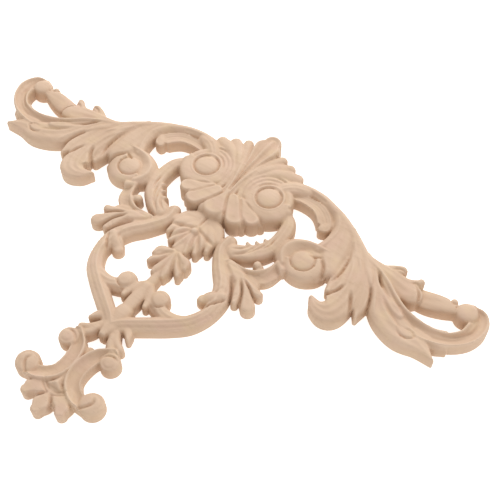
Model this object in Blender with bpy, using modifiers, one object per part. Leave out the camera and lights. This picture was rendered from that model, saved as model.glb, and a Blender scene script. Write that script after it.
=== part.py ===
"""Carved wood applique: two leafy wings, a shell between them and a drop of scrolls, cut from one board.

The carving lies on its back. The flat back is on Z = 0 and the carved face looks up +Z. X runs along
the spread of the wings, +Y to the tip of the shell, and both sides of X = 0 are alike. The origin is
on the back, behind the middle of the shell.

The face is a relief: at any point of the board, each carved member says how high the wood stands and
how far the point is inside the member, and the highest member wins. The board is then cut along the
line where the wood ends, and the other half is its mirror image.
"""

import math

import bmesh
import bpy
import numpy as np
from mathutils import Vector
from mathutils.geometry import delaunay_2d_cdt

NAME = "carved_applique"

# Driving dimensions of the real piece, in metres
SPREAD = 0.317
SHELL_RISE = 0.013
LEAF_RISE = 0.010
SCROLL_RISE = 0.009

# The drawing below is in millimetres for a piece of this spread
DRAWN_SPREAD = 317.0
SCALE = SPREAD / DRAWN_SPREAD
SHELL = SHELL_RISE / SCALE
LEAF = LEAF_RISE / SCALE
SCROLL = SCROLL_RISE / SCALE

# The half that is carved, and how finely
HALF_WIDTH = 162.0
TOP_EDGE = 43.0
BOTTOM_EDGE = -171.0
GRID_STEP = 0.7
TRIANGLES = 3300

# Cutting habits
GROUND = 3.0
WALL_SLOPE = 3.2
EDGE_ROUND = 0.9
PATH_STEPS = 10

# Sections across a member: place from the right edge (-1) to the left edge (1), and share of the crown
ROUND = ((-1, 0.70), (-0.6, 0.92), (0, 1), (0.6, 0.92), (1, 0.70))
SOFT = ((-1, 0.84), (-0.5, 0.97), (0, 1), (0.5, 0.97), (1, 0.84))
RIB = ((-1, 0.90), (-0.5, 0.96), (0, 1), (0.5, 0.96), (1, 0.90))
PETAL = ((-1, 0.86), (-0.8, 1), (-0.45, 0.95), (0, 0.93), (0.45, 0.95), (0.8, 1), (1, 0.86))
HOLLOW = ((-1, 0.86), (-0.84, 1), (-0.4, 0.80), (0, 0.72), (0.4, 0.80), (0.84, 1), (1, 0.86))
RIM_LEFT = ((-1, 0.66), (-0.5, 0.64), (0.1, 0.72), (0.7, 1), (1, 0.88))
RIM_RIGHT = tuple((-place, share) for place, share in reversed(RIM_LEFT))
FAN_TIP = ((-1, 0.84), (-0.82, 0.97), (-0.45, 0.89), (0, 1), (0.45, 0.89), (0.82, 0.97), (1, 0.84))
BOWL = ((-1, 0.84), (-0.82, 0.94), (-0.4, 0.80), (0.2, 0.76), (0.7, 0.84), (1, 0.95))
TROUGH = ((-1, 0.90), (-0.8, 1), (-0.45, 0.80), (0.1, 0.68), (0.55, 0.72), (0.85, 0.82), (1, 0.74))
CREST = ((-1, 0.70), (-0.6, 0.88), (-0.25, 1), (0, 0.97), (0.4, 0.86), (0.8, 0.76), (1, 0.68))


def smooth(points, steps=PATH_STEPS):
    """The points of a Catmull-Rom curve through the given points, which may have any number of columns."""
    given = np.array(points, dtype=float)
    ends = np.vstack([2 * given[0] - given[1], given, 2 * given[-1] - given[-2]])
    along = np.linspace(0, 1, steps, endpoint=False)[:, None]
    runs = []
    for before, start, end, after in zip(ends, ends[1:], ends[2:], ends[3:]):
        runs.append(start + 0.5 * along * (
            (end - before) + along * (
                (2 * before - 5 * start + 4 * end - after)
                + along * (3 * (start - end) + after - before)
            )
        ))
    runs.append(given[-1:])
    return np.vstack(runs)


def arc(centre, radius, start, end, count=7):
    """Points on an arc, from one angle to the other in degrees. A pair of radii makes it a spiral."""
    first, last = radius if isinstance(radius, tuple) else (radius, radius)
    points = []
    for step in range(count):
        share = step / (count - 1)
        angle = math.radians(start + (end - start) * share)
        reach = first + (last - first) * share
        points.append((centre[0] + reach * math.cos(angle), centre[1] + reach * math.sin(angle)))
    return points


def spread(values, count):
    """A value for each of the path's points, from one number or a few spaced evenly along it."""
    values = np.atleast_1d(np.array(values, dtype=float))
    if len(values) == count:
        return values
    return np.interp(np.linspace(0, 1, count), np.linspace(0, 1, len(values)), values)


class Relief:
    """How high the wood stands, and how far inside the outline each point lies, at points of the board."""

    def __init__(self, x, y):
        self.x, self.y = x, y
        self.height = np.full(x.shape, GROUND)
        self.margin = np.full(x.shape, -50.0)

    def nearest(self, path, reach):
        """For the points near the path: which they are, their row on it and distance to its left."""
        low, high = path[:, :2].min(axis=0) - reach, path[:, :2].max(axis=0) + reach
        near = np.flatnonzero(
            (self.x > low[0]) & (self.x < high[0]) & (self.y > low[1]) & (self.y < high[1])
        )
        here = np.stack([self.x[near], self.y[near]], axis=1)
        starts, runs = path[:-1, :2], np.diff(path[:, :2], axis=0)
        offsets = here[:, None, :] - starts[None]
        share = np.clip((offsets * runs).sum(axis=2) / (runs ** 2).sum(axis=1), 0, 1)
        gaps = offsets - share[:, :, None] * runs
        distance = np.hypot(gaps[:, :, 0], gaps[:, :, 1])
        pick = distance.argmin(axis=1)
        rows = np.arange(len(near))
        side = np.sign(runs[pick, 0] * gaps[rows, pick, 1] - runs[pick, 1] * gaps[rows, pick, 0])
        return near, pick + share[rows, pick], distance[rows, pick] * np.where(side == 0, 1, side)

    def ribbon(self, points, half_widths, crowns, section=ROUND, replace=False):
        """A carved member along a path. The member with most wood wins, unless it replaces what is there."""
        count = len(points)
        path = smooth(np.column_stack([points, spread(half_widths, count), spread(crowns, count)]))
        near, row, aside = self.nearest(path, path[:, 2].max() + 5)
        rows = np.arange(len(path))
        half = np.interp(row, rows, path[:, 2])
        crown = np.interp(row, rows, path[:, 3])
        profile = smooth(section)
        across = np.clip(aside / half, -1, 1)
        beyond = np.maximum(np.abs(aside) - half, 0)
        height = crown * np.interp(across, profile[:, 0], profile[:, 1]) - WALL_SLOPE * beyond
        inside = half - np.abs(aside)
        taller = height > self.height[near]
        if replace:
            taller |= inside > 0
        self.height[near] = np.where(taller, height, self.height[near])
        self.margin[near] = np.maximum(self.margin[near], inside)

    def boss(self, centre, radius, crown, edge):
        """A round knob, as high as its crown in the middle and its edge at the rim."""
        gap = np.hypot(self.x - centre[0], self.y - centre[1])
        dome = edge + (crown - edge) * np.sqrt(np.clip(1 - (gap / radius) ** 2, 0, 1))
        height = dome - WALL_SLOPE * np.maximum(gap - radius, 0)
        self.height = np.where(gap < radius, dome, np.maximum(self.height, height))
        self.margin = np.maximum(self.margin, radius - gap)

    def groove(self, points, half_width, depth):
        """A V cut along a path that fades out at both of its ends."""
        path = smooth(points)
        near, row, aside = self.nearest(path, half_width)
        fade = np.sin(np.pi * np.clip(row / (len(path) - 1), 0.02, 0.98)) ** 0.5
        cut = depth * fade * np.clip(1 - np.abs(aside) / half_width, 0, 1) ** 1.4
        self.height[near] -= cut


def carve_shell(relief):
    """Ribs that fan up from the knot and curl round the eyes, and petals that fan down from it."""
    eye = (21.3, 0.2)
    # Low wood behind the notches of the rim, and small leaves that show between the lower petals
    relief.ribbon([(4, 8), (8.4, 26.2)], (1.4, 1.8), 0.6 * SHELL, SOFT)
    for tip in ((6.6, -27.8), (18.2, -22.4), (26.2, -15.6)):
        relief.ribbon([(2, -6), tip], (1.5, 2.2), (0.5 * SHELL, 0.55 * SHELL))
    # The bowl that hangs round each eye, and the lower petals over it
    relief.ribbon(arc(eye, 12.3, -190, -5), 3.4, 0.84 * SHELL, BOWL)
    relief.ribbon(arc(eye, 10.4, -180, 178, 14), 1.8, 0.80 * SHELL, RIB)
    relief.ribbon([(10, -10.4), (14, -12.2), (18, -15), (21.6, -17.4)], (2.8, 3.8, 4.3, 4.4), 0.86 * SHELL,
                  PETAL)
    relief.ribbon([(5.6, -11.4), (8.6, -15.6), (11.8, -20), (13.2, -21.6)], (3.7, 4.4, 5.2, 5.6),
                  0.91 * SHELL, PETAL)
    relief.ribbon([(0, -14), (5.6, -23.2)], (2.6, 3.6), 0.86 * SHELL, SOFT)
    relief.ribbon([(0, -9), (0, -13), (0, -18), (0, -20.2)], (1.2, 2.8, 6.0, 7.4), 0.92 * SHELL, PETAL)
    # Ridges that curl over each eye, outermost first
    relief.ribbon(arc(eye, (16.0, 15.2), 70, 212, 9), (0.9, 1.3, 1.4, 1.0), (0.84 * SHELL, 0.91 * SHELL), RIB)
    relief.ribbon(arc(eye, (13.2, 12.4), 62, 222, 9), (1.0, 1.4, 1.5, 1.1), (0.82 * SHELL, 0.89 * SHELL), RIB)
    # Upper ribs, outermost first
    relief.ribbon([(26, 22.4), (21.5, 20.6), (15.2, 17.2), (9.6, 11.4), (6.2, 4), (5.0, -3), (6.4, -9)],
                  (3.6, 3.8, 3.3, 2.7, 2.1, 1.5, 1.0), (0.74 * SHELL, 0.93 * SHELL, 0.86 * SHELL), RIB)
    relief.ribbon([(18.6, 25.6), (14.6, 22.2), (9.6, 16.6), (5.8, 9), (3.6, 1), (3.0, -5), (3.6, -10)],
                  (3.6, 3.8, 3.2, 2.4, 1.6, 1.2, 0.9), (0.76 * SHELL, 0.97 * SHELL, 0.87 * SHELL), RIB)
    relief.ribbon([(11.8, 28.8), (9.6, 24.2), (6.2, 16.4), (3.6, 8), (1.9, 0), (1.3, -6), (1.4, -11)],
                  (3.0, 3.2, 2.7, 1.9, 1.2, 0.9, 0.7), (0.78 * SHELL, 0.98 * SHELL, 0.88 * SHELL), RIB)
    relief.ribbon([(0, -8), (0, 2), (0, 16), (0, 30), (0, 36)], (0.7, 1.4, 4.2, 7.6, 5.4),
                  (0.86 * SHELL, 0.95 * SHELL, SHELL, 0.97 * SHELL, 0.86 * SHELL), FAN_TIP)
    # The eye, its rim and the groove between them
    relief.ribbon(arc(eye, 8.5, -180, 178, 14), 1.1, 0.87 * SHELL, RIB)
    relief.boss(eye, 7.5, 0.69 * SHELL, 0.69 * SHELL)
    relief.boss(eye, 6.9, 0.93 * SHELL, 0.77 * SHELL)
    # Cuts between the petals, and the start of the bowl
    relief.groove([(1.2, -9.5), (2.6, -13.6), (5.0, -18.6), (8.0, -24), (10.6, -29)], 1.2, 0.12 * SHELL)
    relief.groove([(7.6, -7.6), (11.2, -12.8), (14.8, -17.6), (18.4, -21.8), (21.6, -25.6)], 1.2,
                  0.12 * SHELL)
    relief.groove([(8.0, -6.4), (11.4, -8.8), (15.4, -10.8), (21, -13), (28, -15.4)], 1.1, 0.09 * SHELL)


def carve_arch(relief):
    """The band from the shell to the wing, and the hollow tongue under it."""
    relief.ribbon([(18, 13), (26, 14), (34, 15.3), (43, 15.3), (51, 12.6), (57, 8), (59.4, 3)],
                  (3.4, 2.8, 2.2, 2.2, 2.4, 2.2, 1.6), 0.5 * LEAF, SOFT)
    relief.ribbon([(24, 8.5), (30, 11), (36, 12.2), (42, 12.2), (47.5, 11), (52.5, 7.5), (55.5, 3.6),
                   (56.5, 2), (55.2, 0.8)],
                  (2.5, 3, 3.2, 3.5, 4.0, 4.4, 4.2, 3.2, 2.2), (0.85 * LEAF, 0.88 * LEAF, 0.82 * LEAF),
                  HOLLOW)
    relief.ribbon([(24, 17.0), (32, 19.2), (41, 19.4), (50, 17.4), (59, 12.6), (64, 4), (63.5, -5),
                   (61, -12)],
                  (2.6, 2.8, 3.0, 3.2, 3.4, 3.6, 3.4, 3.0), (0.95 * LEAF, LEAF, LEAF, LEAF, LEAF, 0.9 * LEAF))
    relief.groove([(26, 15.9), (34, 17.6), (42, 17.6), (51, 15.4), (58, 10.4), (61.6, 3), (61, -6)], 0.7,
                  0.06 * LEAF)


def carve_wing(relief):
    """The great acanthus leaf: a fan of lobes from the arch, ending in the loop."""
    # Small tongue and bead in the loop
    relief.ribbon([(115, -7), (124, -6.8), (132, -5.4), (138, -4.2)], (5.2, 5.8, 4.6, 2.6), 0.86 * LEAF, RIB)
    relief.boss((136, -0.4), 2.2, 0.8 * LEAF, 0.6 * LEAF)
    # Loop band
    relief.ribbon([(112, -24), (122, -26), (133, -26), (143, -23), (150, -16.5), (152.2, -8.5), (150.8, -2),
                   (145.5, 0)],
                  (4.6, 4.8, 4.4, 4.2, 4.7, 5.4, 4.6, 3.6), (0.9 * LEAF, 0.88 * LEAF, 0.9 * LEAF, 0.9 * LEAF,
                                                             0.76 * LEAF),
                  HOLLOW)
    relief.boss((144.2, -3.4), 6.0, LEAF, 0.68 * LEAF)
    # Long lower leaf, and the ragged end of its upper side
    relief.ribbon([(144.4, -27.6), (138, -28.4), (128, -28.4)], (1.2, 3.2, 4.0), (0.6 * LEAF, 0.78 * LEAF),
                  SOFT)
    relief.ribbon([(85, -1), (94, -8), (102, -17.5), (110, -26.5), (121, -32), (132, -33), (142, -36.8)],
                  (2.5, 4.5, 7.0, 8.0, 7.4, 5.0, 0.8),
                  (0.9 * LEAF, LEAF, LEAF, 0.96 * LEAF, 0.88 * LEAF, 0.74 * LEAF), SOFT)
    relief.ribbon([(98, -13), (105, -18), (112, -22.4), (117, -25)], (1.4, 2.8, 3.2, 2.4),
                  (0.98 * LEAF, 1.02 * LEAF, 0.98 * LEAF), SOFT)
    # Upper flag leaf with two curled tips
    relief.ribbon([(97.5, -4.4), (101.8, -0.4), (104.8, 1.4)], (4.6, 3.4, 2.8), (0.85 * LEAF, 0.9 * LEAF),
                  SOFT)
    relief.ribbon([(112, -5), (115.6, -1), (116.4, 0.4)], (4.4, 2.4, 2.0), (0.85 * LEAF, 0.9 * LEAF), SOFT)
    relief.ribbon([(84, -2.4), (92, -4.6), (102, -6), (111, -8.4), (115.4, -9.6)],
                  (2.6, 3.9, 5.0, 6.9, 5.9), (LEAF, LEAF, 0.95 * LEAF, 0.98 * LEAF), SOFT)
    # Lobes that hang down, from the outer one to the inner one
    relief.ribbon([(82, 0), (89, -8), (93.5, -18), (96.5, -28), (98.6, -36.8)],
                  (2.0, 3.6, 5.2, 4.8, 1.2), (LEAF, LEAF, 0.95 * LEAF, 0.8 * LEAF), SOFT)
    relief.ribbon([(70, 9), (78, 0), (84, -10), (87.4, -22), (87.9, -33), (85.4, -41.5), (79.5, -42.8),
                   (74, -39.4)],
                  (2.0, 4.0, 6.0, 7.4, 7.4, 7.9, 4.8, 1.4), (LEAF, LEAF, LEAF, 0.95 * LEAF, 0.8 * LEAF), SOFT)
    relief.ribbon([(76, -10), (78, -20), (79, -30.8)], (3.0, 3.4, 2.0), 0.78 * LEAF, SOFT)
    relief.ribbon([(64, 11.2), (67, 4), (69, -5), (70.5, -13), (73, -19.6)], (3.0, 6.0, 7.4, 6.6, 4.6),
                  (LEAF, LEAF, 0.96 * LEAF, 0.92 * LEAF), SOFT)
    relief.ribbon([(50, 17.6), (60, 13.4), (71, 7.0), (79.5, 1.4), (86, -3.0), (94, -5.4)],
                  (2.8, 3.4, 3.6, 3.2, 3.0, 3.0), LEAF)
    # Raised midrib, which runs on as the inner rim of the loop
    relief.ribbon([(90, -4.4), (96, -6.8), (103, -11), (110, -16), (118, -20.2), (127, -22), (135, -21.5),
                   (141, -18.8)],
                  (1.3, 1.5, 1.6, 1.6, 1.5, 1.3, 1.1, 0.8), (LEAF, 1.10 * LEAF, 1.08 * LEAF, 0.95 * LEAF,
                                                             0.82 * LEAF))
    # Creases between the lobes
    relief.groove([(75, 0), (78, -7), (79.2, -14), (79.0, -20), (77.4, -27)], 1.5, 0.26 * LEAF)
    relief.groove([(84.8, -25), (82.6, -30), (79.4, -34)], 1.5, 0.3 * LEAF)
    relief.groove([(94.8, -13), (97.6, -19), (100.4, -26), (102.6, -34)], 1.5, 0.36 * LEAF)
    relief.groove([(89.6, -27), (92.6, -32), (96, -39)], 1.4, 0.3 * LEAF)
    relief.groove([(94.6, -7.4), (98.4, -11.4), (103.6, -15.8), (110, -19.8)], 1.3, 0.26 * LEAF)
    relief.groove([(116, -4), (119, -9), (121.6, -16)], 1.2, 0.2 * LEAF)


def carve_side_scroll(relief):
    """The round C scroll beside the shell, and the small eye volute outside it."""
    eye = (58.6, -23.6)
    relief.ribbon([(51, -17), (57, -14), (64, -16)], (4.0, 5.0, 5.0), 0.76 * LEAF, SOFT)
    relief.ribbon([(54, -22), (63, -22)], 6.0, 0.7 * LEAF, SOFT)
    relief.ribbon([(51.5, -29), (56.5, -31.8), (62.5, -31.9), (68, -28.6), (71, -25)],
                  (2.6, 3.2, 3.3, 3.2, 2.4),
                  0.6 * LEAF, SOFT)
    relief.ribbon(arc((59, -23.4), 8.8, 215, 385, 9), (2.4, 3.0, 3.2, 2.8), 0.9 * LEAF, BOWL)
    relief.ribbon([(66, -11), (58, -11.6), (51.6, -13.8), (47.6, -18), (46.6, -24.5), (49, -29)],
                  (2.2, 3.0, 3.4, 4.2, 4.2, 3.4), (0.92 * LEAF, 0.98 * LEAF, 0.9 * LEAF))
    relief.ribbon(arc(eye, 8.0, 120, 235, 8), (1.8, 2.3, 2.2), (1.02 * LEAF, 1.04 * LEAF, 0.94 * LEAF), RIB)
    relief.boss(eye, 6.6, 0.84 * LEAF, 0.84 * LEAF)
    relief.boss(eye, 6.0, 1.10 * LEAF, 0.92 * LEAF)
    relief.groove([(68, -15.4), (63.4, -16.4), (59.4, -15.4), (55.6, -16.4)], 1.2, 0.16 * LEAF)
    relief.groove([(66.2, -17), (70.4, -21.6), (72.8, -29)], 1.3, 0.24 * LEAF)
    relief.ribbon([(31, -2.5), (35.5, -3), (39, -7), (40.4, -14), (40.0, -22), (36.6, -29.5), (31, -34.8),
                   (24.5, -38)],
                  (3.4, 3.8, 4.3, 4.6, 5.0, 5.4, 5.4, 5.2), 0.95 * SCROLL, ROUND)
    for tip in ((34.0, -22.4), (31.0, -26.2), (27.2, -29.4)):
        relief.ribbon([(tip[0] + 4, tip[1] - 3), tip], (3.6, 0.8), 0.86 * SCROLL, SOFT)
        relief.groove([(tip[0] + 0.6, tip[1] - 2.4), (tip[0] + 4, tip[1] + 0.8), (tip[0] + 6.2, tip[1] + 7)],
                      0.9,
                      0.08 * SCROLL)


def carve_drop(relief):
    """The hooked stem, the S scroll that falls from it, and the side leaf at their fork."""
    for tip, width in (((50.6, -53.2), 2.4), ((50, -62.3), 4.0), ((42.6, -63.8), 2.2)):
        relief.ribbon([(28, -46), (38, -51), tip], (2.5, 3.6, width),
                      (0.9 * SCROLL, 0.9 * SCROLL, 0.8 * SCROLL), SOFT)
    relief.ribbon([(50, -29), (49.4, -36), (46.4, -42.6), (38, -46.8), (27, -46.5)],
                  (3.4, 3.6, 4.2, 3.4, 3.0), 0.88 * SCROLL, RIM_RIGHT)
    relief.ribbon([(43.8, -41.2), (41.8, -39.6), (39.9, -38.8)], (2.2, 2.2, 2.0),
                  (0.8 * SCROLL, 0.95 * SCROLL), SOFT)
    relief.ribbon([(40, -46.6), (46.2, -49.4)], (3.0, 2.4), 0.68 * SCROLL, SOFT)
    relief.ribbon([(19, -34), (19, -41), (25, -50), (32, -58), (35.4, -67), (35.7, -77), (31.4, -86.2),
                   (24, -93),
                   (14, -100), (4, -107), (0, -111)],
                  (4.0, 4.4, 5.2, 5.4, 5.0, 4.1, 4.5, 4.6, 4.6, 4.4, 4.0), SCROLL, CREST)
    relief.ribbon([(36, -65), (31.6, -68.6), (28.4, -71.2)], (2.8, 4.0, 3.4),
                  (SCROLL, 0.96 * SCROLL, 0.74 * SCROLL))
    relief.ribbon([(32, -85), (25, -89.4), (18, -90), (13, -88)], (3.0, 3.7, 3.7, 3.2),
                  (0.9 * SCROLL, 0.95 * SCROLL))
    relief.ribbon([(7, -88), (15.4, -90.8)], (3.0, 3.2), 0.6 * SCROLL, SOFT)
    relief.boss((10.8, -84.4), 5.5, SCROLL, 0.7 * SCROLL)
    # Creases of the side leaf and of the rolled leaf
    relief.groove([(33, -53), (37.4, -59), (42.6, -69)], 1.3, 0.4 * SCROLL)
    relief.groove([(38.5, -51.6), (43, -57.4), (47, -66)], 1.3, 0.4 * SCROLL)
    relief.groove([(38.4, -66), (35.2, -71.6), (31.4, -77)], 1.2, 0.25 * SCROLL)


def carve_husks(relief):
    """The chain of husks that hangs down the middle."""
    for tip in ((8, -51), (12.6, -46.5), (3.4, -53.5)):
        relief.ribbon([(2, -31), (tip[0] * 0.8, tip[1] + 8), tip], (3, 3.6, 1.8),
                      (0.85 * SCROLL, SCROLL, 0.86 * SCROLL), SOFT)
    relief.ribbon([(0, -28), (9, -32), (14, -38)], (4, 4, 2.6), 0.9 * SCROLL, SOFT)
    relief.ribbon([(0, -26), (0, -40), (0, -53)], (3, 4, 3), (0.9 * SCROLL, SCROLL, 0.8 * SCROLL))
    for tip in ((10.0, -62.4), (9.2, -68), (3.0, -72.5)):
        relief.ribbon([(1, -57.5), (tip[0] * 0.8, tip[1] + 3.4), tip], (2.4, 2.8, 1.6),
                      (0.95 * SCROLL, 0.86 * SCROLL), SOFT)
    relief.ribbon([(0, -50), (0, -58)], (4.4, 3.4), 0.85 * SCROLL)
    relief.ribbon([(0, -70), (0, -82)], (2.8, 3.4), 0.8 * SCROLL)
    relief.ribbon([(0, -80), (5.5, -86), (7, -92)], (3, 3, 1.8), 0.8 * SCROLL, SOFT)
    relief.ribbon([(0, -82), (0, -92), (0, -101)], (3, 4, 3), 0.9 * SCROLL, SOFT)
    # Creases between the lobes, and the knob in the middle of the top husk
    for notch in ((5.9, -55.0), (11.0, -51.4), (15.0, -42.6)):
        relief.groove([(1.0, -38), (notch[0] * 0.55, (notch[1] - 39) / 2), notch], 1.7, 0.2 * SCROLL)
    relief.groove([(0, -25), (0, -31), (0, -38)], 1.7, 0.17 * SCROLL)
    relief.boss((0, -40.2), 2.2, 1.12 * SCROLL, 0.9 * SCROLL)
    for notch in ((11.4, -65.8), (7.2, -73.4)):
        relief.groove([(0.6, -56), (notch[0] * 0.6, (notch[1] - 60) / 2), notch], 1.5, 0.19 * SCROLL)


def carve_foot(relief):
    """The crossed neck, the two C scrolls back to back and the palmette under them."""
    relief.ribbon([(6, -106), (10, -109), (12, -112)], (3, 2.4, 1.4), 0.8 * SCROLL, SOFT)
    relief.ribbon([(3, -112), (8, -116.2), (12.5, -118.5)], (4, 2.5, 2.0), 0.8 * SCROLL, SOFT)
    relief.ribbon([(0, -100), (0, -111), (0.6, -116.6)], (5, 5, 2), 0.95 * SCROLL)
    relief.ribbon([(5, -115), (7.2, -119.5), (12.5, -124)], (2.6, 2.6, 3.2), 0.85 * SCROLL)
    relief.boss((13.3, -127.0), 5.4, 0.95 * SCROLL, 0.7 * SCROLL)
    relief.ribbon([(3, -150), (4.6, -158.4)], (2.4, 1.9), 0.66 * SCROLL, SOFT)
    for tip in ((10.8, -160.2), (0, -165)):
        relief.ribbon([(tip[0] * 0.3, -148), (tip[0] * 0.8, tip[1] + 5), tip], (3, 4.8, 2.8),
                      (0.68 * SCROLL, 0.86 * SCROLL, 0.92 * SCROLL), RIB)
    relief.ribbon([(0, -127), (0, -143)], (2.4, 2.4), 0.7 * SCROLL)
    relief.ribbon([(11.5, -122.9), (6.0, -128.2), (3.8, -137), (5.5, -145), (12, -150.2), (19, -151)],
                  (3.2, 4.0, 4.4, 4.2, 4.0, 4.0), (0.92 * SCROLL, SCROLL, SCROLL, SCROLL), TROUGH)
    relief.boss((20.5, -148.9), 6.4, 0.98 * SCROLL, 0.72 * SCROLL)
    relief.ribbon([(0, -142), (0, -148.6)], (1.0, 3.6), (0.95 * SCROLL, 1.04 * SCROLL), ROUND)
    relief.groove([(11.6, -154.6), (14.6, -156.6), (16.4, -160)], 1.3, 0.3 * SCROLL)
    relief.groove([(1.4, -154), (4.4, -159), (6.4, -165)], 1.3, 0.3 * SCROLL)


def carving(x, y):
    """The height of the wood and its margin inside the outline, in drawing units, at the given points."""
    relief = Relief(x, y)
    for carve in (carve_arch, carve_wing, carve_side_scroll, carve_drop, carve_husks, carve_foot,
                  carve_shell):
        carve(relief)
    inset = np.clip(1 - relief.margin / EDGE_ROUND, 0, 1)
    relief.height -= EDGE_ROUND * (1 - np.sqrt(1 - inset ** 2))
    return relief.height, relief.margin


def columns(verts):
    """The vertices' places as one array for each axis."""
    return np.array([vert.co for vert in verts]).T


def fit_to_outline(verts, step):
    """Move the vertices that are within half a step of the outline onto it."""
    x, y, _ = columns(verts)
    margin = carving(x, y)[1]
    near = np.flatnonzero(np.abs(margin) < 0.5 * step)
    probe = 0.05 * step
    for _ in range(3):
        here = carving(x[near], y[near])[1]
        slope_x = (carving(x[near] + probe, y[near])[1] - here) / probe
        slope_y = (carving(x[near], y[near] + probe)[1] - here) / probe
        slope_x[x[near] < probe] = 0
        move = np.clip(here / np.maximum(slope_x ** 2 + slope_y ** 2, 0.2), -0.4 * step, 0.4 * step)
        x[near] -= move * slope_x
        y[near] -= move * slope_y
    margin = carving(x, y)[1]
    margin[np.abs(margin) < 0.15 * step] = 0
    for vert, place_x, place_y in zip(verts, x, y):
        vert.co = (place_x, place_y, 0)
    return margin


def cut_board(step):
    """Half the board as a flat grid, cut along the outline of the carving."""
    board = bmesh.new()
    bmesh.ops.create_grid(
        board, x_segments=round(HALF_WIDTH / step), y_segments=round((TOP_EDGE - BOTTOM_EDGE) / step),
                          size=0.5
    )
    bmesh.ops.translate(board, verts=board.verts, vec=(0.5, 0.5, 0))
    bmesh.ops.scale(board, verts=board.verts, vec=(HALF_WIDTH, TOP_EDGE - BOTTOM_EDGE, 1))
    bmesh.ops.translate(board, verts=board.verts, vec=(0, BOTTOM_EDGE, 0))
    margin = board.verts.layers.float.new("margin")
    board.verts.ensure_lookup_table()
    for vert, value in zip(board.verts, fit_to_outline(board.verts, step)):
        vert[margin] = value
    crossed = [edge for edge in board.edges if edge.verts[0][margin] * edge.verts[1][margin] < 0]
    for edge in crossed:
        start, end = edge.verts
        share = start[margin] / (start[margin] - end[margin])
        bmesh.utils.edge_split(edge, start, share)[1][margin] = 0
    mixed = [
        face for face in board.faces
        if min(vert[margin] for vert in face.verts) < 0 < max(vert[margin] for vert in face.verts)
    ]
    for face in mixed:
        ends = [vert for vert in face.verts if vert[margin] == 0]
        if len(ends) == 2:
            bmesh.utils.face_split(face, ends[0], ends[1])
    outside = [face for face in board.faces if max(vert[margin] for vert in face.verts) <= 0
               or min(vert[margin] for vert in face.verts) < 0]
    bmesh.ops.delete(board, geom=outside, context="FACES")
    return board


def raise_relief(board):
    """Lift each vertex of the flat board to the height of the carving there."""
    x, y, _ = columns(board.verts)
    height = carving(x, y)[0]
    for vert, level in zip(board.verts, height):
        vert.co.z = level


def mesh_object(name, board):
    """A new object in the scene that holds the mesh."""
    mesh = bpy.data.meshes.new(name)
    board.to_mesh(mesh)
    board.free()
    piece = bpy.data.objects.new(name, mesh)
    bpy.context.scene.collection.objects.link(piece)
    return piece


def simplify(piece, triangles):
    """Merge the flatter facets until about this many triangles are left."""
    now = sum(len(face.vertices) - 2 for face in piece.data.polygons)
    decimate = piece.modifiers.new("Fewer facets", "DECIMATE")
    decimate.ratio = min(1, triangles / now)
    graph = bpy.context.evaluated_depsgraph_get()
    simple = bpy.data.meshes.new_from_object(piece.evaluated_get(graph))
    piece.modifiers.clear()
    piece.data = simple


def within(place, outline):
    """Whether the outline goes round the place: a line to its right crosses an odd number of sides."""
    start_x, start_y, end_x, end_y = outline.T
    level = (start_y > place.y) != (end_y > place.y)
    rise = np.where(level, end_y - start_y, 1)
    meets = start_x + (end_x - start_x) * (place.y - start_y) / rise
    return np.count_nonzero(level & (meets > place.x)) % 2 == 1


def close_body(piece):
    """Drop walls from the edge of the relief to the flat back, fill the back, and scale to metres."""
    body = bmesh.new()
    body.from_mesh(piece.data)
    near_middle = 0.2
    for vert in body.verts:
        if abs(vert.co.x) < near_middle:
            vert.co.x = 0
    rim = [edge for edge in body.edges if edge.is_boundary]
    walls = bmesh.ops.extrude_edge_only(body, edges=rim)["geom"]
    for item in walls:
        if isinstance(item, bmesh.types.BMVert):
            item.co.z = 0
    body.verts.index_update()
    foot = [edge for edge in body.edges if edge.is_boundary]
    outline = np.array([[*edge.verts[0].co.xy, *edge.verts[1].co.xy] for edge in foot])
    corners = sorted({vert for edge in foot for vert in edge.verts}, key=lambda vert: vert.index)
    place = {vert: row for row, vert in enumerate(corners)}
    sides = [tuple(place[vert] for vert in edge.verts) for edge in foot]
    inside_only = 1
    filled = delaunay_2d_cdt([vert.co.xy for vert in corners], sides, [], inside_only, 1e-6)
    for face in filled[2]:
        back = [corners[filled[3][corner][0]] for corner in face]
        if within(sum((vert.co.xy for vert in back), Vector((0, 0))) / 3, outline):
            body.faces.new(back)
    middle = [face for face in body.faces if all(vert.co.x == 0 for vert in face.verts)]
    bmesh.ops.delete(body, geom=middle, context="FACES")
    bmesh.ops.recalc_face_normals(body, faces=body.faces)
    bmesh.ops.scale(body, verts=body.verts, vec=(SCALE, SCALE, SCALE))
    body.to_mesh(piece.data)
    body.free()


def wood():
    """Pale bare wood, sanded and unvarnished."""
    material = bpy.data.materials.new("carved_wood")
    material.use_nodes = True
    shader = material.node_tree.nodes["Principled BSDF"]
    shader.inputs["Base Color"].default_value = (0.66, 0.47, 0.32, 1)
    shader.inputs["Roughness"].default_value = 0.62
    shader.inputs["Metallic"].default_value = 0
    return material


def main():
    for old in list(bpy.data.objects):
        bpy.data.objects.remove(old)
    board = cut_board(GRID_STEP)
    raise_relief(board)
    piece = mesh_object(NAME, board)
    simplify(piece, TRIANGLES)
    close_body(piece)
    mirror = piece.modifiers.new("Other half", "MIRROR")
    mirror.merge_threshold = 0.00001
    piece.data.materials.append(wood())


main()
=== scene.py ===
"""Looks of the carved wood applique: its relief at full detail, in pale bare wood, on a white floor.

The drawing is in millimetres, in the frame's own directions. It follows the solid's outline and heights and
adds finer ridges, flutes and cuts. At any point of the board the highest carved member wins, except that a
knob replaces what it stands on. Fine lines are cut into that.
"""

import math

import bmesh
import bpy
import numpy as np
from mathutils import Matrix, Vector
from mathutils.geometry import delaunay_2d_cdt


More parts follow.
